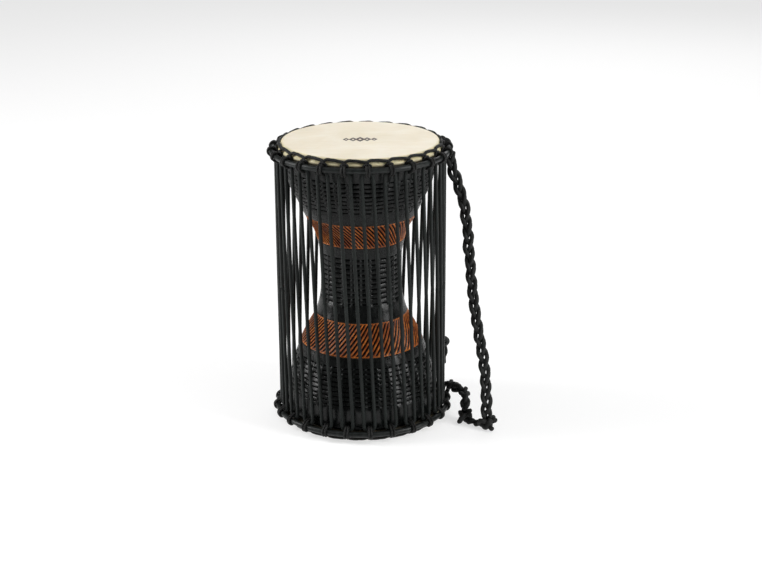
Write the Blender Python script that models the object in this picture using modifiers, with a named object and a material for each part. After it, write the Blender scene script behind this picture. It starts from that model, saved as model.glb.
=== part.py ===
"""Double-headed hourglass talking drum: a turned wooden shell, two laced skin heads on wire rings,
one long tension cord zigzagging between the rings, and a braided cord strap.

Metres, +Z up. The origin is on the drum's axis, level with the lower playing face it stands on.
Angles round the drum are measured from the front (-Y) towards the right (+X).
"""

import math

import bmesh
import bpy
from mathutils import Matrix, Vector

# Overall sizes
HEIGHT = 0.3175  # lower playing face to upper playing face
RIM_RADIUS = 0.0848  # outside of the shell at both bearing edges
WAIST_RADIUS = 0.0453  # outside of the shell at its narrowest
WALL = 0.0080  # shell wall, measured level
EDGE_ROUND = 0.0020  # rounding of the bearing edges
GAP = 0.0003  # clearance between pieces that touch

# Skins and the hoops inside their laps
SKIN = 0.0012
HOOP_WIRE = 0.0015  # radius of the flesh hoop's wire
HOOP_DEPTH = 0.0078  # from the playing face to the hoop's centre

# Tension rings
RING_WIRE = 0.0030  # radius of the ring's rod
RING_DEPTH = 0.0103  # from the playing face to the rod's centre
PASSAGE_EASE = 0.0003  # how much more than one cord fits between a skin's lap and its ring

# Cords
STITCH_WIRE = 0.0014
STITCH_DEPTH = 0.0024
STRAND_WIRE = 0.0020
LOOP_WIRE = 0.0015
KNOT_COUNT = 24
FIRST_KNOT = math.radians(4.5)
STRAND_TWIST = math.radians(7.5)  # each strand leans to the right by this on its way down
BIGHT_DROP = 0.0072  # a bight's strands hang straight from this far below it
BIGHT_FLAT = 0.62  # share of a bight's half width that runs level
HITCH_REACH = 0.0075  # a hitch leaves the run beside the skin this far either side of its knot
HITCH_RISE = 0.0030  # and dips under the ring this far either side
HITCH_LEAN = 0.0015  # its wrap goes once round while it moves from this far left to this far right
HITCH_DIP = 0.0018  # how much deeper than the run a hitch dips

# Tie-off knot of the tension cord
TIE_HEIGHT = 0.078
TIE_LUMP = 0.0050  # radius of each of its two lumps
TIE_LUMP_RISE = 0.0036  # how far the middle of each lump is from the middle of the knot
TIE_WALL = 0.0008  # what wraps the strand on its inner side

# Strap
BRAID_WIRE = 0.0056
BRAID_STANDOFF = 0.0056  # from the ring's centre line out to where both braids start
BRAID_DEPTH = 0.0222  # from the playing faces to where both braids start
LOOP_SWAY = 0.0010  # how far a strap loop bellies out past the ring it goes round
STRAP_ANGLE = math.radians(102)
LINK_WIRE = 0.0028
KNOT_SIZE = Vector((0.0092, 0.0078, 0.0068))
LONG_KNOT = Vector((0.1371, -0.0595, 0.0071))
SHORT_KNOT = Vector((0.1141, -0.0417, 0.0071))
LONG_ROUTE = [
    (0.1012, 0.0178, 0.2820),
    (0.1046, 0.0149, 0.2719),
    (0.1079, 0.0121, 0.2629),
    (0.1109, 0.0090, 0.2529),
    (0.1137, 0.0056, 0.2424),
    (0.1158, 0.0019, 0.2313),
    (0.1174, -0.0025, 0.2177),
    (0.1187, -0.0076, 0.2019),
    (0.1199, -0.0130, 0.1850),
    (0.1215, -0.0194, 0.1650),
    (0.1238, -0.0260, 0.1438),
    (0.1266, -0.0325, 0.1226),
    (0.1303, -0.0384, 0.1018),
    (0.1337, -0.0438, 0.0818),
    (0.1359, -0.0487, 0.0623),
    (0.1371, -0.0528, 0.0448),
    (0.1376, -0.0560, 0.0305),
    (0.1377, -0.0571, 0.0222),
    (0.1375, -0.0580, 0.0144),
]
SHORT_ROUTE = [
    (0.1042, 0.0073, 0.0227),
    (0.1085, -0.0012, 0.0254),
    (0.1125, -0.0099, 0.0272),
    (0.1154, -0.0194, 0.0270),
    (0.1161, -0.0276, 0.0245),
    (0.1157, -0.0330, 0.0200),
    (0.1149, -0.0375, 0.0135),
]

# Travel of the rings when the tension cord is squeezed: each slides this far towards the waist.
SQUEEZE = 0.0030

# Mesh density
SEGMENTS = 48
SHELL_STEPS = 14
BORE_STEPS = 8
STITCH_SIDES = 1  # bevel resolutions: 1 and 2 make tubes of 6 and 8 sides
CORD_SIDES = 1
BRAID_SIDES = 2
CORNER = 1.09  # a bent cord's corners stand this much further off than its clearance, so its straights clear



def nestle(first, first_reach, second, second_reach):
    """The (radius, depth) point at set distances from two others, on their side away from the face."""
    between = Vector(second) - Vector(first)
    along = (first_reach**2 - second_reach**2 + between.length_squared) / (2 * between.length)
    aside = math.sqrt(first_reach**2 - along**2)
    step = between.normalized()
    return Vector(first) + step * along + Vector((-step.y, step.x)) * aside


# Sizes worked out from the ones above; a pair is (radius, depth below the nearer playing face)
HOOP_RADIUS = RIM_RADIUS + GAP + HOOP_WIRE
SKIN_RADIUS = RIM_RADIUS + GAP + SKIN
LAP_RADIUS = HOOP_WIRE + GAP + SKIN
PASSAGE = LAP_RADIUS + RING_WIRE + 2 * (max(STITCH_WIRE, LOOP_WIRE) + GAP)
RING_RADIUS = HOOP_RADIUS + math.sqrt(PASSAGE**2 - (RING_DEPTH - HOOP_DEPTH) ** 2) + PASSAGE_EASE
LAP_CENTRE = Vector((HOOP_RADIUS, HOOP_DEPTH))
RING_CENTRE = Vector((RING_RADIUS, RING_DEPTH))
PASSAGE_CENTRE = (LAP_CENTRE + RING_CENTRE) / 2
STITCH_REACH = STITCH_WIRE + GAP  # from a stitch cord's centre to what it touches
BIGHT_CENTRE = nestle(
    LAP_CENTRE, LAP_RADIUS + 2 * STITCH_REACH + STRAND_WIRE, RING_CENTRE, RING_WIRE + STRAND_WIRE + 2 * GAP
)
STRAND_RADIUS = BIGHT_CENTRE.x
STRAND_DEPTH = BIGHT_CENTRE.y + BIGHT_DROP  # where the strands start to run straight
RUN_RADIUS = SKIN_RADIUS + STITCH_REACH
BRAID_RADIUS = RING_RADIUS + BRAID_STANDOFF
SHELL_END = SKIN + GAP
KNOT_PITCH = 2 * math.pi / KNOT_COUNT

# Half outline of the shell: share of the height, and share of the flare from waist to rim
OUTLINE = [
    (0.000, 1.000),
    (0.094, 0.980),
    (0.173, 0.872),
    (0.275, 0.605),
    (0.324, 0.426),
    (0.384, 0.158),
    (0.437, 0.038),
    (0.478, 0.005),
    (0.567, 0.000),
    (0.614, 0.018),
    (0.689, 0.171),
    (0.732, 0.375),
    (0.802, 0.640),
    (0.855, 0.847),
    (0.940, 0.980),
    (1.000, 1.000),
]


def clear_scene():
    for ob in list(bpy.data.objects):
        bpy.data.objects.remove(ob, do_unlink=True)


def new_collection(name):
    collection = bpy.data.collections.new(name)
    bpy.context.scene.collection.children.link(collection)
    return collection


def material(name, color, roughness, metallic=0.0):
    mat = bpy.data.materials.new(name)
    mat.use_nodes = True
    shader = mat.node_tree.nodes["Principled BSDF"]
    shader.inputs["Base Color"].default_value = (*color, 1.0)
    shader.inputs["Roughness"].default_value = roughness
    shader.inputs["Metallic"].default_value = metallic
    return mat


def finish(ob, mat, collection, parent=None):
    ob.data.materials.append(mat)
    collection.objects.link(ob)
    if parent is not None:
        ob.parent = parent
        ob.matrix_parent_inverse.identity()
        ob.location = ob.location - parent.location
    return ob


def level(end, depth):
    """Height at a depth below the upper face (end +1) or above the lower one (end -1)."""
    return HEIGHT - depth if end > 0 else depth


def around(angle, radius, z):
    return Vector((radius * math.sin(angle), -radius * math.cos(angle), z))


def flare(share):
    """Share of the flare at a share of the height, by a smooth cubic through the outline's points."""
    last = len(OUTLINE) - 1
    i = next(k for k in range(last) if share <= OUTLINE[k + 1][0] or k == last - 1)
    (x0, y0), (x1, y1) = OUTLINE[i], OUTLINE[i + 1]

    def slope(k):
        a = OUTLINE[max(k - 1, 0)]
        b = OUTLINE[min(k + 1, last)]
        return (b[1] - a[1]) / (b[0] - a[0])

    span = x1 - x0
    t = (share - x0) / span
    m0, m1 = slope(i) * span, slope(i + 1) * span
    rise = (2 * t**3 - 3 * t**2 + 1) * y0 + (t**3 - 2 * t**2 + t) * m0
    return rise + (3 * t**2 - 2 * t**3) * y1 + (t**3 - t**2) * m1


def shell_radius(z):
    return WAIST_RADIUS + (RIM_RADIUS - WAIST_RADIUS) * flare(z / HEIGHT)


def turned(name, profile, closed):
    """A profile of (radius, height) points, down its outer side, turned about Z."""
    mesh = bpy.data.meshes.new(name)
    edges = [(i, i + 1) for i in range(len(profile) - 1)]
    if closed:
        edges.append((len(profile) - 1, 0))
    mesh.from_pydata([(r, 0.0, z) for r, z in profile], edges, [])
    ob = bpy.data.objects.new(name, mesh)
    screw = ob.modifiers.new("Screw", "SCREW")
    screw.axis = "Z"
    screw.angle = 2 * math.pi
    screw.steps = screw.render_steps = SEGMENTS
    screw.use_merge_vertices = True
    screw.merge_threshold = 0.00005
    screw.use_smooth_shade = True
    return ob


def tube(name, points, wire, sides, cyclic=False):
    """A round cord through the points, measured from the first one."""
    curve = bpy.data.curves.new(name, "CURVE")
    curve.dimensions = "3D"
    curve.bevel_depth = wire
    curve.bevel_resolution = sides
    curve.use_fill_caps = not cyclic
    spline = curve.splines.new("POLY")
    spline.points.add(len(points) - 1)
    for point, place in zip(spline.points, points):
        point.co = (*(place - points[0]), 1.0)
    spline.use_cyclic_u = cyclic
    ob = bpy.data.objects.new(name, curve)
    ob.location = points[0]
    return ob


def smooth_route(points, steps):
    """A Catmull-Rom curve through the points, with the given steps between each two."""
    ends = [2 * points[0] - points[1], *points, 2 * points[-1] - points[-2]]
    route = []
    for a, b, c, d in zip(ends, ends[1:], ends[2:], ends[3:]):
        for step in range(steps):
            t = step / steps
            bend = (2 * a - 5 * b + 4 * c - d) * t**2 + (3 * b - a - 3 * c + d) * t**3
            route.append(b + 0.5 * ((c - a) * t + bend))
    return [*route, points[-1]]


def make_shell(mat, collection):
    """The wooden shell: a bowl at each end of a narrow waist, open right through."""
    low, high = SHELL_END, HEIGHT - SHELL_END
    drop = (high - low - 2 * EDGE_ROUND) / SHELL_STEPS
    heights = [high - EDGE_ROUND - drop * k for k in range(SHELL_STEPS + 1)]
    outside = [(shell_radius(z), z) for z in heights]
    crown = RIM_RADIUS - EDGE_ROUND
    bore = [low + (high - low) * k / BORE_STEPS for k in range(BORE_STEPS + 1)]
    inside = [(shell_radius(z) - WALL, z) for z in bore]
    profile = [(crown, high), *outside, (crown, low), *inside]
    return finish(turned("shell", profile, True), mat, collection)


def bend(centre, reach, start, step, count):
    """Corners of a cord or sheet bent round a centre: 0 degrees is outward, 90 is away from the face."""
    angles = [math.radians(start + step * k) for k in range(count)]
    return [centre + reach * Vector((math.cos(a), math.sin(a))) for a in angles]


def skin_profile(end):
    """Section of a skin: the playing face, the fold over the rim, and the lap round its hoop."""
    neck = HOOP_DEPTH - LAP_RADIUS - SKIN / 2
    section = [
        (0.0, 0.0),
        (SKIN_RADIUS - EDGE_ROUND / 2, 0.0),
        (SKIN_RADIUS, EDGE_ROUND / 2),
        (SKIN_RADIUS, neck),
        *bend(LAP_CENTRE, LAP_RADIUS, -50, 55, 3),
        *bend(LAP_CENTRE, HOOP_WIRE + GAP, 60, -55, 3),
        (SKIN_RADIUS - SKIN, neck),
        (SKIN_RADIUS - SKIN, SKIN),
        (0.0, SKIN),
    ]
    points = [(r, level(end, depth)) for r, depth in section]
    return points if end > 0 else points[::-1]


def make_head(name, end, mat, collection):
    return finish(turned(name, skin_profile(end), False), mat, collection)


def make_ring(name, radius, wire, z, sides, mat, collection, parent):
    """A wire ring, level, centred on the drum's axis."""
    bpy.ops.mesh.primitive_torus_add(
        location=(0, 0, z), major_segments=SEGMENTS, minor_segments=sides,
        major_radius=radius, minor_radius=wire,
    )
    ob = bpy.context.object
    ob.name = ob.data.name = name
    for owner in list(ob.users_collection):
        owner.objects.unlink(ob)
    ob.data.shade_smooth()
    return finish(ob, mat, collection, parent)


def hitch(angle, end):
    """One knot: from the run beside the skin, over the ring, under the tension cord's bight and back up."""
    between = LAP_CENTRE + (BIGHT_CENTRE - LAP_CENTRE).normalized() * (LAP_RADIUS + STITCH_REACH)
    wrap = [
        *bend(RING_CENTRE, (RING_WIRE + STITCH_REACH) * CORNER, -90, 46, 4),
        *bend(BIGHT_CENTRE, (STRAND_WIRE + STITCH_REACH) * CORNER, 60, 46, 4),
        between,
        PASSAGE_CENTRE,
    ]
    turns = [
        (-HITCH_REACH, RUN_RADIUS, STITCH_DEPTH),
        (-HITCH_RISE, PASSAGE_CENTRE.x, STITCH_DEPTH + HITCH_DIP),
        *((HITCH_LEAN * (2 * k / (len(wrap) - 1) - 1), *spot) for k, spot in enumerate(wrap)),
        (HITCH_RISE, PASSAGE_CENTRE.x, STITCH_DEPTH + HITCH_DIP),
        (HITCH_REACH, RUN_RADIUS, STITCH_DEPTH),
    ]
    return [around(angle + aside / RING_RADIUS, radius, level(end, depth)) for aside, radius, depth in turns]


def make_stitch_cord(name, end, mat, collection, parent):
    """The cord that sews a skin to its ring, once round, with a hitch at every knot."""
    points = [p for k in range(KNOT_COUNT) for p in hitch(FIRST_KNOT + k * KNOT_PITCH, end)]
    return finish(tube(name, points, STITCH_WIRE, STITCH_SIDES, cyclic=True), mat, collection, parent)


def bight(angle, end):
    """The turn of the tension cord under a ring, left to right."""
    half, top = KNOT_PITCH / 4, BIGHT_CENTRE.y
    turn = [(-1, STRAND_DEPTH), (-BIGHT_FLAT, top), (BIGHT_FLAT, top), (1, STRAND_DEPTH)]
    return [around(angle + half * aside, STRAND_RADIUS, level(end, depth)) for aside, depth in turn]


def make_tension_cord(mat, collection):
    """One closed zigzag: up to a bight on the upper ring, down to the next knot on the lower ring."""
    points = []
    for k in range(KNOT_COUNT):
        top = FIRST_KNOT + k * KNOT_PITCH
        points += bight(top, 1)
        points += bight(top + KNOT_PITCH / 2 + STRAND_TWIST, -1)
    return finish(tube("tension_cord", points, STRAND_WIRE, CORD_SIDES, cyclic=True), mat, collection)


def strand_ends(knot):
    """Top and bottom of the strand left of a knot."""
    top = FIRST_KNOT + knot * KNOT_PITCH - KNOT_PITCH / 4
    low = around(top + STRAND_TWIST, STRAND_RADIUS, level(-1, STRAND_DEPTH))
    return around(top, STRAND_RADIUS, level(1, STRAND_DEPTH)), low


def add_lump(name, up, out):
    """A round lump of the tie-off knot, at a height along its strand and a distance out from it."""
    mesh = bpy.data.meshes.new(name)
    bm = bmesh.new()
    bmesh.ops.create_uvsphere(bm, u_segments=14, v_segments=9, radius=TIE_LUMP)
    bmesh.ops.translate(bm, verts=bm.verts, vec=(out, 0.0, up))
    bm.to_mesh(mesh)
    bm.free()
    mesh.shade_smooth()
    return bpy.data.objects.new(name, mesh)


def add_bore(name, radius, length):
    mesh = bpy.data.meshes.new(name)
    bm = bmesh.new()
    bmesh.ops.create_cone(bm, cap_ends=True, segments=14, radius1=radius, radius2=radius, depth=length)
    bm.to_mesh(mesh)
    bm.free()
    return bpy.data.objects.new(name, mesh)


def make_tie_off(mat, collection, cutters):
    """The knot that ties the tension cord's ends round one of its own strands: two lumps, outside it."""
    high, low = strand_ends(knot=6)
    place = low.lerp(high, (TIE_HEIGHT - low.z) / (high.z - low.z))
    along = (high - low).normalized()
    outward = Vector((place.x, place.y, 0.0))
    side = along.cross(outward).normalized()
    turn = Matrix((side.cross(along), side, along)).transposed().to_euler()
    bore = STRAND_WIRE + GAP
    out = TIE_LUMP - bore - TIE_WALL
    ob = add_lump("tie_off_knot", TIE_LUMP_RISE, out)
    tools = {
        "UNION": add_lump("tie_off_second_lump", -TIE_LUMP_RISE, out),
        "DIFFERENCE": add_bore("tie_off_bore", bore, 4 * (TIE_LUMP + TIE_LUMP_RISE)),
    }
    for operation, tool in tools.items():
        cutters.objects.link(tool)
        tool.hide_render = True
        tool.display_type = "WIRE"
        tool.location, tool.rotation_euler = place, turn
        boolean = ob.modifiers.new(tool.name, "BOOLEAN")
        boolean.operation = operation
        boolean.object = tool
    ob.location, ob.rotation_euler = place, turn
    return finish(ob, mat, collection)


def make_strap_loop(name, end, aside, mat, collection, parent):
    """The cord loop round a tension ring from which a braid starts, this far back from the braid's middle."""
    angle = STRAP_ANGLE + aside / RING_RADIUS
    wide = (RING_WIRE + GAP + LOOP_WIRE) * CORNER
    foot = BRAID_DEPTH - GAP - LOOP_WIRE - LOOP_SWAY
    turns = [
        PASSAGE_CENTRE,
        *bend(RING_CENTRE, wide, -140, 46, 4),
        (RING_RADIUS + wide + LOOP_SWAY, RING_DEPTH + RING_WIRE),
        (RING_RADIUS + wide, foot),
        (RING_RADIUS + RING_WIRE, foot + LOOP_SWAY / 2),
        *bend(RING_CENTRE, wide, 100, 46, 2),
    ]
    points = [around(angle, radius, level(end, depth)) for radius, depth in turns]
    return finish(tube(name, points, LOOP_WIRE, CORD_SIDES, cyclic=True), mat, collection, parent)


def make_braid(name, end, route, mat, collection):
    """A braid's round envelope, from its loop on a ring to its knot."""
    start = around(STRAP_ANGLE, BRAID_RADIUS, level(end, BRAID_DEPTH))
    points = smooth_route([start, *(Vector(p) for p in route)], 2)
    return finish(tube(name, points, BRAID_WIRE, BRAID_SIDES), mat, collection)


def make_knot(name, place, mat, collection):
    """A stopper knot that ends a braid, lying on the ground."""
    mesh = bpy.data.meshes.new(name)
    bm = bmesh.new()
    bmesh.ops.create_uvsphere(bm, u_segments=12, v_segments=8, radius=1.0)
    for vert in bm.verts:
        vert.co = Vector(a * b for a, b in zip(vert.co, KNOT_SIZE))
    bm.to_mesh(mesh)
    bm.free()
    mesh.shade_smooth()
    ob = bpy.data.objects.new(name, mesh)
    ob.location = place
    return finish(ob, mat, collection)


def make_link(mat, collection):
    """The short cord between the two stopper knots."""
    along = (LONG_KNOT - SHORT_KNOT).normalized()
    reach = KNOT_SIZE.x + GAP
    rise = Vector((0, 0, LINK_WIRE + GAP - SHORT_KNOT.z))
    start = SHORT_KNOT + along * reach + rise
    stop = LONG_KNOT - along * reach + rise
    points = [start.lerp(stop, k / 3) for k in range(4)]
    return finish(tube("strap_link", points, LINK_WIRE, BRAID_SIDES), mat, collection)


def ring_carrier(name, end, collection):
    """The empty that carries one ring and all that slides with it, on the slide's axis."""
    ob = bpy.data.objects.new(name, None)
    ob.location = (0, 0, level(end, RING_DEPTH))
    ob.empty_display_size = SQUEEZE
    collection.objects.link(ob)
    return ob


def build():
    clear_scene()
    parts = new_collection("talking_drum")
    cutters = new_collection("cutters")
    wood = material("wood", (0.012, 0.014, 0.013), 0.42)
    skin = material("skin", (0.83, 0.77, 0.62), 0.55)
    metal = material("ring_metal", (0.030, 0.032, 0.031), 0.45, 0.4)
    wire = material("hoop_metal", (0.30, 0.30, 0.30), 0.40, 0.9)
    cord = material("cord", (0.020, 0.021, 0.021), 0.75)
    braid = material("strap_cord", (0.024, 0.024, 0.024), 0.80)

    make_shell(wood, parts)
    beside = LOOP_WIRE + 2 * GAP  # the long braid hangs below its loop, the short one starts in front of its
    for word, end, loop_aside in (("upper", 1, 0.0), ("lower", -1, beside)):
        carrier = ring_carrier(f"{word}_slide", end, parts)
        make_head(f"{word}_head", end, skin, parts)
        hoop_z, ring_z = level(end, HOOP_DEPTH), level(end, RING_DEPTH)
        make_ring(f"{word}_flesh_hoop", HOOP_RADIUS, HOOP_WIRE, hoop_z, 6, wire, parts, carrier)
        make_ring(f"{word}_tension_ring", RING_RADIUS, RING_WIRE, ring_z, 8, metal, parts, carrier)
        make_stitch_cord(f"{word}_stitch_cord", end, cord, parts, carrier)
        make_strap_loop(f"strap_loop_{word}", end, loop_aside, braid, parts, carrier)
    make_tension_cord(cord, parts)
    make_tie_off(cord, parts, cutters)
    make_braid("strap_long", 1, LONG_ROUTE, braid, parts)
    make_braid("strap_short", -1, SHORT_ROUTE, braid, parts)
    make_knot("strap_knot_long", LONG_KNOT, braid, parts)
    make_knot("strap_knot_short", SHORT_KNOT, braid, parts)
    make_link(braid, parts)


build()
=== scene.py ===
"""Looks of the hourglass talking drum: carved shell, skins, rings, lacing cords and braided strap."""

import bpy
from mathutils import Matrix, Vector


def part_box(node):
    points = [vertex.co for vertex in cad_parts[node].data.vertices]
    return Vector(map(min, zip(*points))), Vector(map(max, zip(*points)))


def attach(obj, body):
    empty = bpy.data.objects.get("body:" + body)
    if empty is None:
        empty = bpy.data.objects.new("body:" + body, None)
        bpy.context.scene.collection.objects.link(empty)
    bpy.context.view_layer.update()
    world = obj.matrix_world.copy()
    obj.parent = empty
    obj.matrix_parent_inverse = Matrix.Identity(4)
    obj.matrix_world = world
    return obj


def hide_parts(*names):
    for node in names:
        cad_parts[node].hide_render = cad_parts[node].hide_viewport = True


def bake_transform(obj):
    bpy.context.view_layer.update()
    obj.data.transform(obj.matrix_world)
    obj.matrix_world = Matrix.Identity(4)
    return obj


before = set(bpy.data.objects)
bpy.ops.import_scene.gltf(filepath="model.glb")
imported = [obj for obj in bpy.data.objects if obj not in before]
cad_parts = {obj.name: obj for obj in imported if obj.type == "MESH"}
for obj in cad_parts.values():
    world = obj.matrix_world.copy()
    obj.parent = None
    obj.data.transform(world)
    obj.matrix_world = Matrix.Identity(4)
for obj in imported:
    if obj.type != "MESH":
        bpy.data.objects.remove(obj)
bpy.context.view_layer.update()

import math

import bmesh
import bpy
import numpy as np
from mathutils import Euler, Matrix, Vector

TAU = 2 * math.pi

# ---- sizes read from the frame
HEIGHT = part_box("upper_head")[1][2]
RIM_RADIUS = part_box("shell")[1][0]
SHELL_LOW, SHELL_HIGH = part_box("shell")[0][2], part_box("shell")[1][2]
ring_low, ring_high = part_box("upper_tension_ring")
RING_WIRE = (ring_high[2] - ring_low[2]) / 2
RING_RADIUS = ring_high[0] - RING_WIRE
RING_DEPTH = HEIGHT - (ring_high[2] + ring_low[2]) / 2

# ---- sizes of the solids, metres
# A WIRE is the radius of a rod or cord, and a DEPTH is measured from the nearer playing face.
WAIST_RADIUS = 0.0453
WALL = 0.0080
EDGE_ROUND = 0.0020
GAP = 0.0003
SKIN = 0.0012
HOOP_WIRE = 0.0015
HOOP_DEPTH = 0.0078
STITCH_WIRE = 0.0014
STRAND_WIRE = 0.0020
KNOT_COUNT = 24
FIRST_KNOT = math.radians(4.5)
STRAND_TWIST = math.radians(7.5)
BIGHT_DROP = 0.0072
STRAP_ANGLE = math.radians(102)
BRAID_STANDOFF = 0.0056
BRAID_DEPTH = 0.0222
LOOP_WIRE = 0.0015
LONG_KNOT = Vector((0.1371, -0.0595, 0.0071))
SHORT_KNOT = Vector((0.1141, -0.0417, 0.0071))
LONG_ROUTE = [
    (0.1012, 0.0178, 0.2820), (0.1046, 0.0149, 0.2719), (0.1079, 0.0121, 0.2629),
    (0.1109, 0.0090, 0.2529), (0.1137, 0.0056, 0.2424), (0.1158, 0.0019, 0.2313),
    (0.1174, -0.0025, 0.2177), (0.1187, -0.0076, 0.2019), (0.1199, -0.0130, 0.1850),
    (0.1215, -0.0194, 0.1650), (0.1238, -0.0260, 0.1438), (0.1266, -0.0325, 0.1226),
    (0.1303, -0.0384, 0.1018), (0.1337, -0.0438, 0.0818), (0.1359, -0.0487, 0.0623),
    (0.1371, -0.0528, 0.0448), (0.1376, -0.0560, 0.0305), (0.1377, -0.0571, 0.0222),
    (0.1375, -0.0580, 0.0144),
]
SHORT_ROUTE = [
    (0.1042, 0.0073, 0.0227), (0.1085, -0.0012, 0.0254), (0.1125, -0.0099, 0.0272),
    (0.1154, -0.0194, 0.0270), (0.1161, -0.0276, 0.0245), (0.1157, -0.0330, 0.0200),
    (0.1149, -0.0375, 0.0135),
]
OUTLINE = [  # share of the height, and share of the way from the waist's radius to the rim's
    (0.000, 1.000), (0.094, 0.980), (0.173, 0.872), (0.275, 0.605),
    (0.324, 0.426), (0.384, 0.158), (0.437, 0.038), (0.478, 0.005),
    (0.567, 0.000), (0.614, 0.018), (0.689, 0.171), (0.732, 0.375),
    (0.802, 0.640), (0.855, 0.847), (0.940, 0.980), (1.000, 1.000),
]


def nestle(first, first_reach, second, second_reach):
    """The (radius, depth) point at set distances from two others, on their side away from the face."""
    between = Vector(second) - Vector(first)
    along = (first_reach**2 - second_reach**2 + between.length_squared) / (2 * between.length)
    aside = math.sqrt(first_reach**2 - along**2)
    step = between.normalized()
    return Vector(first) + step * along + Vector((-step.y, step.x)) * aside


# Sizes worked out from the ones above; a pair is (radius, depth below the nearer playing face)
HOOP_RADIUS = RIM_RADIUS + GAP + HOOP_WIRE
SKIN_RADIUS = RIM_RADIUS + GAP + SKIN
LAP_RADIUS = HOOP_WIRE + GAP + SKIN
LAP_CENTRE = Vector((HOOP_RADIUS, HOOP_DEPTH))
RING_CENTRE = Vector((RING_RADIUS, RING_DEPTH))
PASSAGE_CENTRE = (LAP_CENTRE + RING_CENTRE) / 2
STITCH_REACH = STITCH_WIRE + GAP
BIGHT_CENTRE = nestle(
    LAP_CENTRE, LAP_RADIUS + 2 * STITCH_REACH + STRAND_WIRE, RING_CENTRE, RING_WIRE + STRAND_WIRE + 2 * GAP
)
STRAND_RADIUS = BIGHT_CENTRE.x
STRAND_DEPTH = BIGHT_CENTRE.y + BIGHT_DROP
BRAID_RADIUS = RING_RADIUS + BRAID_STANDOFF
KNOT_PITCH = TAU / KNOT_COUNT


# ---- camera
EYE = (0.0, -1.6937, 0.7326)
LENS_MM, SENSOR_MM = 75.57, 36.0
LOOK_DOWN, LOOK_RIGHT, ROLL = math.radians(18.839), math.radians(-0.740), math.radians(-0.30)


def add_object(name, data):
    ob = bpy.data.objects.new(name, data)
    bpy.context.scene.collection.objects.link(ob)
    return ob


def make_camera():
    data = bpy.data.cameras.new("camera")
    data.lens = LENS_MM
    data.sensor_width = SENSOR_MM
    data.clip_end = 50.0
    camera = add_object("camera", data)
    camera.location = EYE
    unrolled = Euler((math.pi / 2 - LOOK_DOWN, 0.0, LOOK_RIGHT)).to_matrix()
    camera.rotation_euler = (unrolled @ Matrix.Rotation(ROLL, 3, "Z")).to_euler()
    bpy.context.scene.camera = camera


# ---- geometry helpers
def level(end, depth):
    """Height at a depth below the upper face (end +1) or above the lower one (end -1)."""
    return HEIGHT - depth if end > 0 else depth


def around(angle, radius, z):
    """A point at an angle from the front of the drum, towards its right."""
    return Vector((radius * math.sin(angle), -radius * math.cos(angle), z))


def bend(centre, reach, start, step, count):
    """Corners of a cord bent round a centre: 0 degrees is outward, 90 is away from the face."""
    angles = [math.radians(start + step * k) for k in range(count)]
    return [centre + reach * Vector((math.cos(a), math.sin(a))) for a in angles]


def catmull(a, b, c, d, steps):
    """Points of a Catmull-Rom curve from b up to c, which is left out."""
    for step in range(steps):
        t = step / steps
        curve = (2 * a - 5 * b + 4 * c - d) * t**2 + (3 * b - a - 3 * c + d) * t**3
        yield b + 0.5 * ((c - a) * t + curve)


def smooth_route(points, steps):
    """A smooth curve through the points, with the given steps between each two."""
    ends = [2 * points[0] - points[1], *points, 2 * points[-1] - points[-2]]
    route = [spot for four in zip(ends, ends[1:], ends[2:], ends[3:]) for spot in catmull(*four, steps)]
    return [*route, points[-1]]


def smooth_loop(points, steps):
    """A closed smooth curve through the points."""
    fours = zip(points[-1:] + points[:-1], points, points[1:] + points[:1], points[2:] + points[:2])
    return [spot for four in fours for spot in catmull(*four, steps)]


def length_along(line):
    """How far along a line each of its points is."""
    steps = np.linalg.norm(np.diff(line, axis=0), axis=1)
    return np.concatenate([[0.0], np.cumsum(steps)])


def resample(points, spacing):
    """The same line with points a set distance apart."""
    line = np.array([tuple(p) for p in points])
    along = length_along(line)
    count = max(int(round(along[-1] / spacing)), 2)
    places = np.linspace(0.0, along[-1], count + 1)
    return np.stack([np.interp(places, along, line[:, k]) for k in range(3)], axis=1)


def frames_along(line, closed):
    """Tangents and a side direction that doesn't spin, at each point of a line."""
    if closed:
        ahead, behind = np.roll(line, -1, axis=0), np.roll(line, 1, axis=0)
    else:
        ahead = np.vstack([line[1:], 2 * line[-1] - line[-2]])
        behind = np.vstack([2 * line[0] - line[1], line[:-1]])
    tangent = ahead - behind
    tangent /= np.linalg.norm(tangent, axis=1)[:, None]
    helper = np.array([0.0, 0.0, 1.0]) if abs(tangent[0][2]) < 0.9 else np.array([1.0, 0.0, 0.0])
    side = np.zeros_like(line)
    last = np.cross(helper, tangent[0])
    last /= np.linalg.norm(last)
    for i, t in enumerate(tangent):
        last = last - t * np.dot(last, t)
        last /= np.linalg.norm(last)
        side[i] = last
    if closed:
        end = last - tangent[0] * np.dot(last, tangent[0])
        other = np.cross(tangent[0], side[0])
        slip = math.atan2(np.dot(end, other), np.dot(end, side[0]))
        turn = -slip * np.arange(len(line)) / len(line)
        binormal = np.cross(tangent, side)
        side = side * np.cos(turn)[:, None] + binormal * np.sin(turn)[:, None]
    return tangent, side


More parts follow.
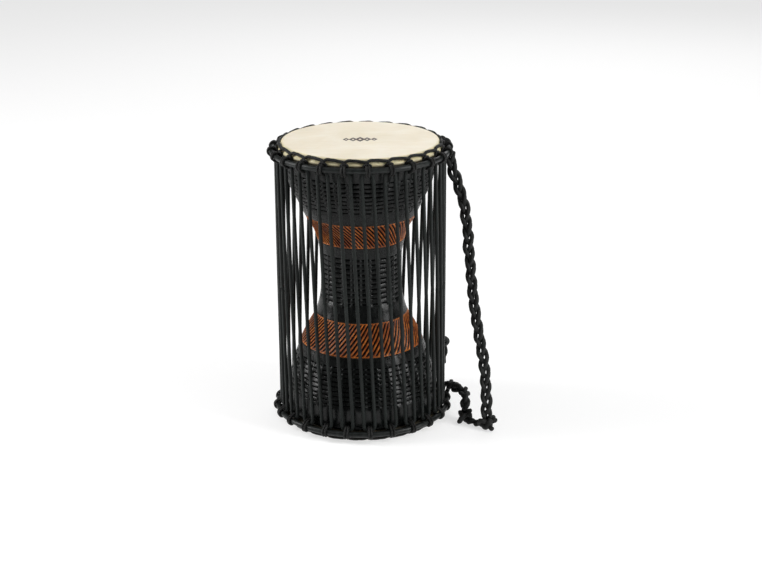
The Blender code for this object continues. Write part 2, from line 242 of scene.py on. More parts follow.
class Build:
    """Gathers rings of points into one mesh, with a cord coordinate in UV: round share, metres along."""

    def __init__(self):
        self.verts, self.faces, self.uvs, self.count = [], [], [], 0

    def tube(self, line, radius, sides, closed=False, ply=0, lay=0.0, groove=0.0, round_ends=False):
        """A tube along a line. ply lobes wind round it once every lay metres, with grooves that deep."""
        line = np.array([tuple(p) for p in line], dtype=float)
        rows = len(line)
        radius = np.broadcast_to(np.asarray(radius, float), (rows,)).copy()
        if round_ends and not closed:
            line, radius = with_round_ends(line, radius)
            rows = len(line)
        tangent, side = frames_along(line, closed)
        binormal = np.cross(tangent, side)
        along = length_along(line)
        theta = np.arange(sides) / sides * TAU
        shape = np.ones((rows, sides))
        if ply:
            turns = along / lay * TAU
            if closed:
                whole = along[-1] + np.linalg.norm(line[0] - line[-1])
                turns = along / whole * TAU * round(whole / lay)
            lobes = np.abs(np.cos(ply / 2 * (theta[None, :] - turns[:, None] / ply)))
            shape = 1.0 - groove * (1.0 - lobes) ** 1.5
        cos, sin = np.cos(theta)[None, :, None], np.sin(theta)[None, :, None]
        ring = side[:, None, :] * cos + binormal[:, None, :] * sin
        points = line[:, None, :] + ring * (radius[:, None] * shape)[:, :, None]
        base = self.count
        self.verts.append(points.reshape(-1, 3))
        i, j = np.meshgrid(np.arange(rows if closed else rows - 1), np.arange(sides), indexing="ij")
        up, round_ = (i + 1) % rows, (j + 1) % sides
        quads = np.stack([i * sides + j, i * sides + round_, up * sides + round_, up * sides + j], axis=-1)
        self.faces += (quads.reshape(-1, 4) + base).tolist()
        lengths = np.append(along, 2 * along[-1] - along[-2])
        u0, u1 = j / sides, (j + 1) / sides
        v0, v1 = lengths[i], lengths[i + 1]
        uv = np.stack([np.stack(corner, -1) for corner in ((u0, v0), (u1, v0), (u1, v1), (u0, v1))], 2)
        self.uvs.append(uv.reshape(-1, 2))
        self.count += rows * sides
        if not closed:
            low = [base + k for k in reversed(range(sides))]
            high = [base + (rows - 1) * sides + k for k in range(sides)]
            for cap, length in ((low, 0.0), (high, along[-1])):
                self.faces.append(cap)
                self.uvs.append(np.array([[k / sides, length] for k in range(sides)]))

    def object(self, name, mat):
        mesh = bpy.data.meshes.new(name)
        mesh.from_pydata(np.concatenate(self.verts).tolist(), [], self.faces)
        layer = mesh.uv_layers.new(name="cord")
        layer.data.foreach_set("uv", np.concatenate(self.uvs).ravel())
        return place(name, mesh, [mat])


def with_round_ends(line, radius):
    """Adds three rows to each end that close the tube in a dome."""
    def dome(a, b, r):
        out = (a - b) / np.linalg.norm(a - b)
        share = np.array([0.55, 0.85, 0.98])
        return a + out * (share * r)[:, None], r * np.sqrt(1 - share**2)

    head, head_r = dome(line[0], line[1], radius[0])
    tail, tail_r = dome(line[-1], line[-2], radius[-1])
    return np.vstack([head[::-1], line, tail]), np.concatenate([head_r[::-1], radius, tail_r])


def place(name, mesh, mats, sharp=None):
    """Puts a mesh in the scene, smooth but for edges sharper than the given degrees."""
    mesh.validate()
    mesh.shade_smooth()
    if sharp:
        mesh.set_sharp_from_angle(angle=math.radians(sharp))
    for mat in mats:
        mesh.materials.append(mat)
    ob = add_object(name, mesh)
    return ob


def stand_for(ob, node, body):
    """Makes a visual piece take the place of a solid and move with its body."""
    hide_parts(node)
    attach(ob, body)


def grid_mesh(name, points, face_slots=None, attribute=None):
    """A mesh of rows that close round: points is rows x columns x 3."""
    rows, cols = points.shape[:2]
    i, j = np.meshgrid(np.arange(rows - 1), np.arange(cols), indexing="ij")
    k = (j + 1) % cols
    quads = np.stack([(i + 1) * cols + j, (i + 1) * cols + k, i * cols + k, i * cols + j], -1).reshape(-1, 4)
    mesh = bpy.data.meshes.new(name)
    mesh.from_pydata(points.reshape(-1, 3).tolist(), [], quads.tolist())
    if face_slots is not None:
        mesh.polygons.foreach_set("material_index", face_slots.ravel().astype(np.int32))
    if attribute is not None:
        layer = mesh.attributes.new("carve", "FLOAT", "POINT")
        layer.data.foreach_set("value", attribute.ravel().astype(np.float32))
    return mesh


def weld(mesh, reach, sliver=None):
    """Merges points nearer than reach, then collapses faces thinner than sliver."""
    bm = bmesh.new()
    bm.from_mesh(mesh)
    bmesh.ops.remove_doubles(bm, verts=bm.verts, dist=reach)
    if sliver:
        bmesh.ops.dissolve_degenerate(bm, edges=bm.edges, dist=sliver)
    bm.to_mesh(mesh)
    bm.free()


# ---- material helpers
class Mat:
    """A material with a Principled shader and short calls for the nodes that feed it."""

    def __init__(self, name, roughness=0.5, **constants):
        self.mat = bpy.data.materials.new(name)
        self.mat.use_nodes = True
        self.tree = self.mat.node_tree
        self.shader = self.tree.nodes["Principled BSDF"]
        self.shader.inputs["Roughness"].default_value = roughness
        for key, value in constants.items():
            self.shader.inputs[key.replace("_", " ")].default_value = value

    def node(self, kind, inputs=(), **settings):
        node = self.tree.nodes.new(kind)
        for key, value in settings.items():
            setattr(node, key, value)
        for key, value in dict(inputs).items():
            self.put(value, node.inputs[key])
        return node

    def put(self, value, socket):
        if isinstance(value, bpy.types.NodeSocket):
            self.tree.links.new(value, socket)
        else:
            socket.default_value = value

    def math(self, operation, a, b=0.0, clamp=False):
        node = self.node("ShaderNodeMath", {0: a, 1: b}, operation=operation, use_clamp=clamp)
        return node.outputs[0]

    def coords(self, scale=(1, 1, 1)):
        start = self.node("ShaderNodeTexCoord").outputs["Object"]
        return self.node("ShaderNodeMapping", {"Vector": start, "Scale": scale}).outputs[0]

    def separate(self, kind):
        """The separate values of a texture coordinate."""
        start = self.node("ShaderNodeTexCoord").outputs[kind]
        return self.node("ShaderNodeSeparateXYZ", {0: start}).outputs

    def carve(self):
        """How deep in a cut the shell's surface is, from 0 to 1."""
        return self.node("ShaderNodeAttribute", attribute_name="carve").outputs["Fac"]

    def wave(self, turn):
        """A sine of whole turns, from 0 to 1."""
        sine = self.math("SINE", self.math("MULTIPLY", turn, TAU))
        return self.math("MULTIPLY", self.math("ADD", sine, 1.0), 0.5)

    def noise(self, vector, scale, detail=4.0, rough=0.55, distortion=0.0):
        inputs = {"Vector": vector, "Scale": scale, "Detail": detail, "Roughness": rough}
        return self.node("ShaderNodeTexNoise", {**inputs, "Distortion": distortion}).outputs["Fac"]

    def ramp(self, value, stops):
        """A colour ramp; each stop is (position, colour) or (position, grey level)."""
        node = self.node("ShaderNodeValToRGB", {"Fac": value})
        elements = node.color_ramp.elements
        while len(elements) < len(stops):
            elements.new(0.5)
        for element, (position, color) in zip(elements, stops):
            element.position = position
            grey = not hasattr(color, "__len__")
            element.color = (color, color, color, 1.0) if grey else (*color, 1.0)
        return node.outputs["Color"]

    def mix(self, factor, a, b):
        node = self.node("ShaderNodeMix", data_type="RGBA")
        for socket, value in ((node.inputs[0], factor), (node.inputs[6], a), (node.inputs[7], b)):
            self.put(value if not isinstance(value, tuple) else (*value, 1.0), socket)
        return node.outputs[2]

    def bump(self, height, strength, distance, normal=None):
        inputs = {"Height": height, "Strength": strength, "Distance": distance}
        if normal is not None:
            inputs["Normal"] = normal
        return self.node("ShaderNodeBump", inputs).outputs[0]

    def finish(self, color=None, roughness=None, normal=None):
        for value, name in ((color, "Base Color"), (roughness, "Roughness"), (normal, "Normal")):
            if value is not None:
                self.put(value, self.shader.inputs[name])
        return self.mat


# ---- materials
def black_paint():
    """Glossy black paint on gouged wood: dusty on the grain, with a painted highlight beside each cut's edge
    and painted shade in the cuts.
    """
    m = Mat("black_paint", Specular_IOR_Level=0.28)
    grain = m.noise(m.coords((60, 60, 9)), 6.0, 6.0, 0.6)
    blotch = m.noise(m.coords(), 38.0, 3.0)
    carve = m.carve()
    # painted shade: how far into a cut the paint turns nearly black
    cut = m.ramp(carve, [(0.15, 0.0), (0.60, 1.0)])
    tone = m.ramp(blotch, [(0.30, (0.0006, 0.0010, 0.0009)), (0.72, (0.0030, 0.0042, 0.0038))])
    dusty = m.mix(m.ramp(grain, [(0.50, 0.0), (0.80, 0.50)]), tone, (0.016, 0.020, 0.019))
    # painted highlight: a light line just beside each cut, where the lip's edge would catch the light
    edges = m.ramp(carve, [(0.02, 0.0), (0.10, 1.0), (0.30, 1.0), (0.50, 0.0)])
    edge_highlight = m.math("MULTIPLY", edges, m.ramp(blotch, [(0.35, 0.25), (0.62, 1.0)]))
    # the painted highlight beside the cuts is mixed in here, over the dust on the grain
    dusty = m.mix(edge_highlight, dusty, (0.034, 0.042, 0.040))
    # painted shade: nearly black in the cuts, darker than the dusty lands
    color = m.mix(cut, dusty, (0.0004, 0.0005, 0.0005))
    rough = m.ramp(m.noise(m.coords((30, 30, 14)), 9.0, 4.0), [(0.30, 0.20), (0.75, 0.38)])
    normal = m.bump(grain, 0.30, 0.0005, m.bump(blotch, 0.35, 0.002))
    return m.finish(color, rough, normal)


def orange_wood():
    """Bare reddish-orange hardwood: bright lands with pale crests, partly wear and partly painted highlight;
    gouges darkened nearly to black; streaky grain.
    """
    m = Mat("orange_wood", Specular_IOR_Level=0.22)
    grain = m.noise(m.coords((45, 45, 7)), 7.0, 6.0, 0.65, 0.6)
    patch = m.noise(m.coords(), 55.0, 3.0)
    carve = m.carve()
    shades = [(0.25, (0.090, 0.014, 0.003)), (0.46, (0.400, 0.090, 0.011)), (0.70, (0.840, 0.290, 0.052))]
    wood = m.ramp(grain, shades)
    wood = m.mix(m.ramp(patch, [(0.42, 0.0), (0.70, 0.75)]), wood, (0.120, 0.016, 0.006))
    # pale crests and band borders: partly wear, partly painted highlight
    wood = m.mix(m.ramp(carve, [(0.0, 0.30), (0.10, 0.0)]), wood, (0.560, 0.230, 0.070))
    # the gouges, darkened nearly to black
    color = m.mix(m.ramp(carve, [(0.15, 0.0), (0.55, 1.0)]), wood, (0.0110, 0.0040, 0.0025))
    rough = m.ramp(patch, [(0.30, 0.30), (0.75, 0.50)])
    return m.finish(color, rough, m.bump(grain, 0.5, 0.0005))


def matt_cut(name, dark, light):
    """The inside of a gouge: dull, fibrous and nearly black."""
    m = Mat(name, 0.95, Specular_IOR_Level=0.04)
    fibre = m.noise(m.coords((60, 60, 9)), 8.0, 6.0, 0.65)
    return m.finish(m.ramp(fibre, [(0.35, dark), (0.75, light)]), normal=m.bump(fibre, 0.5, 0.0006))


LAP_SHADE_DEPTH = HOOP_DEPTH - 0.0021  # painted shade: a skin darkens from here towards its lap's cut edge
LAP_SHADE_RISE = 450.0  # and is fully dark once this has made its depth 1


def goat_skin(end):
    """Cream goatskin with blotches, pores and fine streaks, with painted shade that makes it yellower and
    darker over the rim and dark at its lap's cut edge.
    """
    marked = end > 0
    name = "goat_skin_marked" if marked else "goat_skin"
    m = Mat(name, 0.55, Specular_IOR_Level=0.35, Subsurface_Weight=0.12)
    m.shader.inputs["Subsurface Radius"].default_value = (0.0020, 0.0014, 0.0008)
    spot = m.coords()
    cloud = m.noise(spot, 16.0, 4.0, 0.6, 0.4)
    fleck = m.noise(spot, 260.0, 3.0, 0.6)
    streak = m.noise(m.coords((1.0, 4.5, 1.0)), 30.0, 4.0, 0.6, 1.2)
    creams = [(0.28, (0.800, 0.720, 0.560)), (0.50, (0.860, 0.785, 0.640)), (0.74, (0.900, 0.840, 0.710))]
    base = m.ramp(cloud, creams)
    base = m.mix(m.ramp(streak, [(0.45, 0.0), (0.80, 0.30)]), base, (0.760, 0.650, 0.450))
    base = m.mix(m.ramp(fleck, [(0.62, 0.0), (0.80, 0.25)]), base, (0.690, 0.570, 0.380))
    axes = m.separate("Object")
    radius = m.math("SQRT", m.math("ADD", m.math("POWER", axes[0], 2.0), m.math("POWER", axes[1], 2.0)))
    # painted shade: yellower and darker where the skin turns over the rim
    edge = m.ramp(m.math("DIVIDE", radius, SKIN_RADIUS), [(0.965, 0.0), (1.0, 0.7)])
    base = m.mix(edge, base, (0.700, 0.620, 0.330))
    depth = m.math("SUBTRACT", HEIGHT, axes[2]) if marked else axes[2]
    # painted shade: the skin turns dark brown past this depth, down to its lap's cut edge
    lap_shade = m.math("MULTIPLY", m.math("SUBTRACT", depth, LAP_SHADE_DEPTH), LAP_SHADE_RISE, clamp=True)
    base = m.mix(lap_shade, base, (0.030, 0.024, 0.012))
    if marked:
        base = m.mix(lozenge_row(m, axes), base, (0.045, 0.022, 0.018))
    normal = m.bump(fleck, 0.25, 0.0003, m.bump(cloud, 0.3, 0.0012))
    return m.finish(base, m.ramp(streak, [(0.3, 0.48), (0.8, 0.64)]), normal)


LOZENGES = ((-2, 0.0040), (-1, 0.0052), (0, 0.0064), (1, 0.0052), (2, 0.0040))  # place, half width
LOZENGE_PITCH = 0.0076
LOZENGE_TALL = 1.7  # height over width
LOZENGE_HOLLOW = 0.34  # share of each that is left bare
INK_EDGE = 12.0  # how crisp the print is


def lozenge_row(m, axes):
    """Ink coverage of a printed row of five lozenges, the largest in the middle."""
    ink = 0.0
    for step, half in LOZENGES:
        across = m.math("ABSOLUTE", m.math("SUBTRACT", axes[0], step * LOZENGE_PITCH))
        down = m.math("ABSOLUTE", axes[1])
        reach = m.math("ADD", m.math("DIVIDE", across, half), m.math("DIVIDE", down, half * LOZENGE_TALL))
        solid = m.math("MULTIPLY", m.math("SUBTRACT", 1.0, reach), INK_EDGE, clamp=True)
        hollow = m.math("MULTIPLY", m.math("SUBTRACT", LOZENGE_HOLLOW, reach), INK_EDGE, clamp=True)
        ink = m.math("MAXIMUM", ink, m.math("SUBTRACT", solid, hollow))
    worn = m.ramp(m.noise(m.coords(), 420.0, 3.0), [(0.28, 0.70), (0.48, 1.0)])
    return m.math("MULTIPLY", ink, worn)


def black_metal():
    """Worn black enamel on a steel rod: grey where it has rubbed through in small flecks."""
    m = Mat("black_enamel", Specular_IOR_Level=0.22)
    scuff = m.noise(m.coords(), 260.0, 5.0, 0.65)
    wide = m.noise(m.coords(), 60.0, 3.0)
    color = m.ramp(scuff, [(0.38, (0.0030, 0.0040, 0.0038)), (0.66, (0.0220, 0.0260, 0.0245))])
    color = m.mix(m.ramp(wide, [(0.35, 0.0), (0.70, 0.6)]), color, (0.0050, 0.0060, 0.0060))
    rough = m.ramp(wide, [(0.30, 0.28), (0.70, 0.48)])
    return m.finish(color, rough, m.bump(scuff, 0.35, 0.0004))


def bare_wire():
    """Plain drawn steel wire."""
    m = Mat("hoop_wire", Metallic=1.0)
    scuff = m.noise(m.coords(), 240.0, 4.0)
    color = m.ramp(scuff, [(0.3, (0.22, 0.21, 0.20)), (0.7, (0.45, 0.44, 0.42))])
    return m.finish(color, m.ramp(scuff, [(0.3, 0.3), (0.7, 0.5)]))


def woven_cord(name, dark, light, carriers, per_metre):
    """Braided cord: two sets of yarns that wind opposite ways round it, with loose fibres."""
    m = Mat(name, Specular_IOR_Level=0.22, Sheen_Weight=0.02, Sheen_Roughness=0.45)
    uv = m.separate("UV")
    yarns = []
    for hand in (1.0, -1.0):
        turn = m.math("ADD", m.math("MULTIPLY", uv[0], carriers), m.math("MULTIPLY", uv[1], hand * per_metre))
        yarns.append(m.wave(turn))
    weave = m.math("MAXIMUM", *yarns)
    fuzz = m.noise(m.coords(), 520.0, 4.0, 0.7)
    wide = m.noise(m.coords(), 26.0, 3.0)
    shade = m.math("MULTIPLY", weave, m.ramp(fuzz, [(0.25, 0.55), (0.75, 1.0)]))
    color = m.mix(shade, dark, light)
    color = m.mix(m.ramp(wide, [(0.35, 0.0), (0.75, 0.45)]), color, tuple(c * 1.5 for c in light))
    rough = m.ramp(fuzz, [(0.3, 0.34), (0.7, 0.55)])
    normal = m.bump(fuzz, 0.25, 0.0003, m.bump(weave, 0.6, 0.0004))
    return m.finish(color, rough, normal)


def twisted_cord(name, dark, light):
    """Spun cotton: fine fibres along the twist, dusty on the crowns."""
    m = Mat(name, Specular_IOR_Level=0.22, Sheen_Weight=0.03, Sheen_Roughness=0.5)
    uv = m.separate("UV")
    turn = m.math("ADD", m.math("MULTIPLY", uv[0], 9.0), m.math("MULTIPLY", uv[1], 1150.0))
    fibre = m.wave(turn)
    fuzz = m.noise(m.coords(), 620.0, 4.0, 0.7)
    crowns = m.ramp(fibre, [(0.0, 0.55), (1.0, 1.0)])
    shade = m.math("MULTIPLY", crowns, m.ramp(fuzz, [(0.25, 0.35), (0.78, 1.0)]))
    wide = m.noise(m.coords(), 45.0, 3.0)
    color = m.mix(shade, dark, light)
    color = m.mix(m.ramp(wide, [(0.40, 0.0), (0.75, 0.5)]), color, tuple(c * 0.6 for c in light))
    normal = m.bump(fuzz, 0.35, 0.0003, m.bump(fibre, 0.35, 0.0002))
    return m.finish(color, m.ramp(fuzz, [(0.3, 0.50), (0.7, 0.75)]), normal)


# ---- strap
CORD_SIDES = 12
TWIST = {"ply": 3, "lay": 0.011, "groove": 0.22}  # the strap's cord: three yarns laid together
TAIL_TWIST = {**TWIST, "groove": 0.25}
FINE = 0.0010  # spacing of points along the strap's cords
BRAID_SWING, BRAID_WEAVE = 0.0040, 0.0022  # how far a braid's strands swing sideways, and over and under
BRAID_WANDER = 0.24  # share by which the swing comes and goes
BRAID_STRAND = 0.0026
KNOT_SIZE, KNOT_STRAND = (0.0074, 0.0062, 0.0034), 0.0030
TAIL_SHARE = 0.75  # how much of each tail below is left on
TAIL_STRAND = (0.0024, 0.0030)  # from the knot to the frayed end
LINK_STRAND = 0.0021
LINK_SWING, LINK_LIFT, LINK_SWAY = 0.0042, 0.0035, 0.0012
LINK_START, LINK_SHARE = 0.16, 0.68  # where the link starts and how much of the way it spans
LOOP_STRAND = 0.0017
LOOP_SPREAD = (-0.0017, 0.0019)  # where a loop's two turns lie along the ring


def braid_lines(route, period, lean, seed):
    """The centre lines of a flat three-strand braid that follows a route."""
    line = resample(smooth_route(route, 12), FINE)
    rng = np.random.default_rng(seed)
    along = np.linspace(0.0, 1.0, len(line)) * length_along(line)[-1]
    tangent = np.gradient(line, axis=0)
    tangent /= np.linalg.norm(tangent, axis=1)[:, None]
    across = np.array([math.cos(lean), math.sin(lean), 0.0])
    side = across - tangent * (tangent @ across)[:, None]
    side /= np.linalg.norm(side, axis=1)[:, None]
    out = np.cross(side, tangent)
    knots = np.linspace(0, along[-1], 14)
    lines = []
    for k in range(3):
        swing = np.interp(along, knots, rng.uniform(1 - BRAID_WANDER, 1 + BRAID_WANDER, len(knots)))
        phase = TAU * (along / period + k / 3)
        x = BRAID_SWING * swing * np.sin(phase)
        y = BRAID_WEAVE * np.sin(2 * phase)
        lines.append(line + side * x[:, None] + out * y[:, None])
    return line, lines


def make_braid(name, node, end, route, period, lean, cord, seed):
    """One braid of the strap, as a cord that ends in its knot."""
    start = around(STRAP_ANGLE, BRAID_RADIUS, level(end, BRAID_DEPTH))
    points = [start, *(Vector(p) for p in route)]
    line, lines = braid_lines(points, period, lean, seed)
    build = Build()
    for strand in lines:
        build.tube(strand, BRAID_STRAND, CORD_SIDES, **TWIST, round_ends=True)
    ob = build.object(name, cord)
    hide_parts(node)
    return ob


def knot_line(centre, turn):
    """A tight overhand knot's line: a closed trefoil squeezed into the knot's size."""
    t = np.linspace(0, TAU, 90, endpoint=False)
    x, y, z = np.sin(t) + 2 * np.sin(2 * t), np.cos(t) - 2 * np.cos(2 * t), -np.sin(3 * t)
    x, y, z = x / 3 * KNOT_SIZE[0], y / 3 * KNOT_SIZE[1], z * KNOT_SIZE[2]
    cos, sin = math.cos(turn), math.sin(turn)
    return np.stack([x * cos - y * sin, x * sin + y * cos, z], 1) + np.array(centre)


def make_strap_knot(name, node, centre, turn, tails, cord):
    """A stopper knot, with the cut ends of the braid's cords splayed past it."""
    build = Build()
    build.tube(knot_line(centre, turn), KNOT_STRAND, CORD_SIDES, **TWIST, closed=True)
    for tail in tails:
        points = smooth_route([Vector(centre) + Vector(p) * TAIL_SHARE for p in tail], 8)
        swell = np.linspace(*TAIL_STRAND, len(points))
        build.tube(points, swell, CORD_SIDES, **TAIL_TWIST, round_ends=True)
    ob = build.object(name, cord)
    stand_for(ob, node, "shell")
    return ob


def make_link(cord):
    """Two cords twisted once between the stopper knots."""
    low, high = SHORT_KNOT, LONG_KNOT
    build = Build()
    flat = (high - low).normalized()
    across = Vector((-flat.y, flat.x, 0.0))
    for hand in (1, -1):
        points = []
        for t in (k / 24 for k in range(25)):
            swing = LINK_SWING * math.sin(TAU * t) * hand
            lift = LINK_LIFT + LINK_SWAY * math.cos(TAU * t) * hand
            spot = low.lerp(high, LINK_START + LINK_SHARE * t) + across * swing
            points.append(Vector((spot.x, spot.y, lift)))
        build.tube(resample(smooth_route(points, 2), FINE), LINK_STRAND, CORD_SIDES, **TWIST)
    ob = build.object("strap_link_cords", cord)
    stand_for(ob, "strap_link", "shell")
    return ob


def make_strap_loop(name, node, end, aside, body, cord):
    """Two turns of cord round a tension ring, from which a braid starts."""
    wide = RING_WIRE + LOOP_WIRE + GAP
    foot = BRAID_DEPTH - LOOP_WIRE - 0.0006
    turns = [
        PASSAGE_CENTRE,
        *bend(RING_CENTRE, wide, -140, 46, 4),
        (RING_RADIUS + wide + 0.0012, RING_DEPTH + RING_WIRE),
        (RING_RADIUS + wide + 0.0006, foot),
        (RING_RADIUS + RING_WIRE - 0.0004, foot + 0.0004),
        *bend(RING_CENTRE, wide, 100, 46, 2),
    ]
    build = Build()
    for spread in LOOP_SPREAD:
        angle = STRAP_ANGLE + (aside + spread) / RING_RADIUS
        points = [around(angle, radius, level(end, depth)) for radius, depth in turns]
        build.tube(smooth_loop(points, 6), LOOP_STRAND, CORD_SIDES, **TWIST, closed=True)
    ob = build.object(name, cord)
    stand_for(ob, node, body)
    return ob


def make_strap(cord):
    """Both braids, with their loops, stopper knots and the link between the knots."""
    long_tails = [
        [(0.003, -0.001, 0.000), (0.008, -0.001, 0.0015), (0.0135, 0.001, 0.0035)],
        [(0.002, -0.003, -0.001), (0.005, -0.008, -0.0025), (0.0075, -0.0125, -0.0040)],
        [(0.002, 0.002, 0.001), (0.007, 0.004, 0.0030), (0.0110, 0.0055, 0.0060)],
    ]
    short_tails = [
        [(0.001, -0.002, 0.002), (0.004, -0.005, 0.0045), (0.0075, -0.007, 0.0062)],
        [(0.002, 0.001, 0.003), (0.005, 0.0005, 0.0060), (0.0080, -0.001, 0.0095)],
        [(-0.002, -0.002, -0.001), (-0.005, -0.006, -0.0020), (-0.0075, -0.0085, -0.0042)],
    ]
    upper = make_strap_loop("strap_loop_top", "strap_loop_upper", 1, 0.0, "upper_hoop", cord)
    aside = LOOP_WIRE + 2 * GAP
    lower = make_strap_loop("strap_loop_bottom", "strap_loop_lower", -1, aside, "lower_hoop", cord)
    knots = [
        make_strap_knot(f"strap_end_knot_{word}", f"strap_knot_{word}", centre, turn, tails, cord)
        for word, centre, turn, tails in (
            ("long", LONG_KNOT, 0.4, long_tails),
            ("short", SHORT_KNOT, 1.5, short_tails),
        )
    ]
    extra = [make_link(cord), upper]
    lean = math.radians(-14)
    braid = make_braid(
        "strap_braid_long", "strap_long", 1, LONG_ROUTE, 0.050, lean, cord, 3
    )
    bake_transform(braid)
    lean = math.radians(-60)
    braid = make_braid(
        "strap_braid_short", "strap_short", -1, SHORT_ROUTE, 0.040, lean, cord, 7
    )
    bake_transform(braid)


# ---- shell
ZONES = [  # top of each zone, what is carved there, and how many notches high
    (0.2901, "notch", 8),
    (0.2497, "plain", 0),
    (0.2370, "band", 1),
    (0.2080, "plain", 0),
    (0.1947, "notch", 10),
    (0.1386, "plain", 0),
    (0.1223, "band", -1),
    (0.0891, "plain", 0),
    (0.0784, "notch", 9),
    (0.0334, "plain", 0),
]
COLUMNS = 324  # of the shell's mesh
BOWL_COLUMNS, WAIST_COLUMNS = 36, 27  # of notches round the bowls and the waist
NOTCH_DEPTH, GROOVE_DEPTH = 0.0012, 0.0010
BAND_SHEAR = {1: 0.45, -1: -0.40}
GROOVE = [1.0, 0.95, 0.20, 0.0]  # depth of a gouge across the shell's columns
BAND_STEPS, BORE_STEPS, PLAIN_STEP = 14, 16, 0.0035
BORDER = [(0.0012, 0.0), (0.0008, 0.55), (0.0004, 0.0)]  # a scored line: distance from a band, depth
PAINTED, BARE, CUT, DARK_GOUGE = range(4)  # the shell's materials
CUT_FROM, DARK_GOUGE_FROM = 0.42, 0.62  # how far into a cut its darker inside starts


def flare(share):
    """The outline's smooth curve: how far out the shell is at a share of its height."""
    last = len(OUTLINE) - 1
    i = next(k for k in range(last) if share <= OUTLINE[k + 1][0] or k == last - 1)
    (x0, y0), (x1, y1) = OUTLINE[i], OUTLINE[i + 1]

    def slope(k):
        a, b = OUTLINE[max(k - 1, 0)], OUTLINE[min(k + 1, last)]
        return (b[1] - a[1]) / (b[0] - a[0])

    span = x1 - x0
    t = (share - x0) / span
    rise = (2 * t**3 - 3 * t**2 + 1) * y0 + (t**3 - 2 * t**2 + t) * slope(i) * span
    return rise + (3 * t**2 - 2 * t**3) * y1 + (t**3 - t**2) * slope(i + 1) * span


def shell_radius(z):
    return WAIST_RADIUS + (RIM_RADIUS - WAIST_RADIUS) * flare(z / HEIGHT)


def column_weight(count):
    """How fully a notch cuts at each of the shell's columns: nothing on the ridges between them."""
    per = COLUMNS // count
    spot = (np.arange(COLUMNS) % per) / per
    edge = np.minimum(spot, 1 - spot)
    return np.clip((edge - 0.04) / 0.10, 0.0, 1.0), np.arange(COLUMNS) // per, spot


# One notch from its top: share of its height, how dark and deep the cut is, and how far the scallop
# below the cut is still sunk
SCALLOP = [
    (0.05, 0.0, 0.00),
    (0.12, 1.0, 0.90),
    (0.34, 1.0, 0.95),
    (0.42, 0.0, 0.75),
    (0.66, 0.0, 0.35),
    (0.95, 0.0, 0.00),
]


def notch_rows(top, bottom, count, rng):
    """Rows of a notched zone: each notch is a steep cut under a sharp lip, then a scallop back out."""
    middle_radius = shell_radius((top + bottom) / 2)
    columns = WAIST_COLUMNS if middle_radius < WAIST_RADIUS * 1.2 else BOWL_COLUMNS
    weight, which, spot = column_weight(columns)
    pitch = (top - bottom) / count
    half = math.pi / columns
    facet = middle_radius * (math.cos(half) / np.cos((spot - 0.5) * 2 * half) - 1.0)
    rows = []
    for n in range(count):
        shift = rng.uniform(-0.06, 0.06, columns)[which] * pitch
        slant = rng.uniform(-0.10, 0.10, columns)[which] * pitch * (spot - 0.5) * 2
        deep = rng.uniform(0.7, 1.1, columns)[which]
        twist = rng.uniform(-0.00015, 0.00015, columns)[which] * (spot - 0.5) * 2
        for share, dark, sunk in SCALLOP:
            z = top - (n + share) * pitch - (shift + slant) * weight
            rows.append(("notch", z, dark * weight, facet + (twist - NOTCH_DEPTH * sunk * deep) * weight))
    return rows


def band_rows(top, bottom, rng):
    """Rows of a bare wood band: slanted gouges that fade out at the band's borders."""
    count = COLUMNS // len(GROOVE)
    deep = np.repeat(rng.uniform(0.70, 1.15, count), len(GROOVE)) * np.tile(GROOVE, count)
    rows = []
    for k in range(BAND_STEPS + 1):
        share = k / BAND_STEPS
        fade = min(1.0, share / 0.06, (1 - share) / 0.06)
        rows.append(("band", np.full(COLUMNS, top - (top - bottom) * share), deep * fade, np.zeros(COLUMNS)))
    return rows


def border_rows(z, kind):
    """A fine scored line round the shell at a band's border."""
    flat = np.zeros(COLUMNS)
    rows = BORDER if kind == "above" else [(-up, cut) for up, cut in BORDER[::-1]]
    return [("plain", np.full(COLUMNS, z + up), flat + cut, flat) for up, cut in rows]


def plain_rows(top, bottom):
    count = max(2, int((top - bottom) / PLAIN_STEP))
    flat = np.zeros(COLUMNS)
    heights = [top - (top - bottom) * k / count for k in range(count + 1)]
    return [("plain", np.full(COLUMNS, z), flat, flat) for z in heights]


def shell_rows(rng):
    """All the rows of the shell's outside: kind, height, how dark the cut is, and lift off the outline."""
    rows = plain_rows(SHELL_HIGH - EDGE_ROUND, ZONES[0][0] + 0.001)
    for i, (top, kind, count) in enumerate(ZONES):
        bottom = ZONES[i + 1][0] if i + 1 < len(ZONES) else SHELL_LOW + EDGE_ROUND
        if kind == "notch":
            rows += notch_rows(top, bottom, count, rng)
        elif kind == "band":
            rows += border_rows(top, "above") + band_rows(top, bottom, rng) + border_rows(bottom, "below")
        else:
            inset = {"band": 0.0020, "notch": 0.0010, "end": 0.0}
            below = ZONES[i + 1][1] if i + 1 < len(ZONES) else "end"
            rows += plain_rows(top - inset[ZONES[i - 1][1]], bottom + inset[below])
    return rows


def shear_at(z):
    """How far the shell's columns have turned by a height: each band's gouges slant by its shear."""
    turned = 0.0
    for i, (top, kind, hand) in enumerate(ZONES):
        if kind == "band":
            bottom = ZONES[i + 1][0]
            turned += BAND_SHEAR[hand] * min(max((top - z) / (top - bottom), 0.0), 1.0)
    return turned


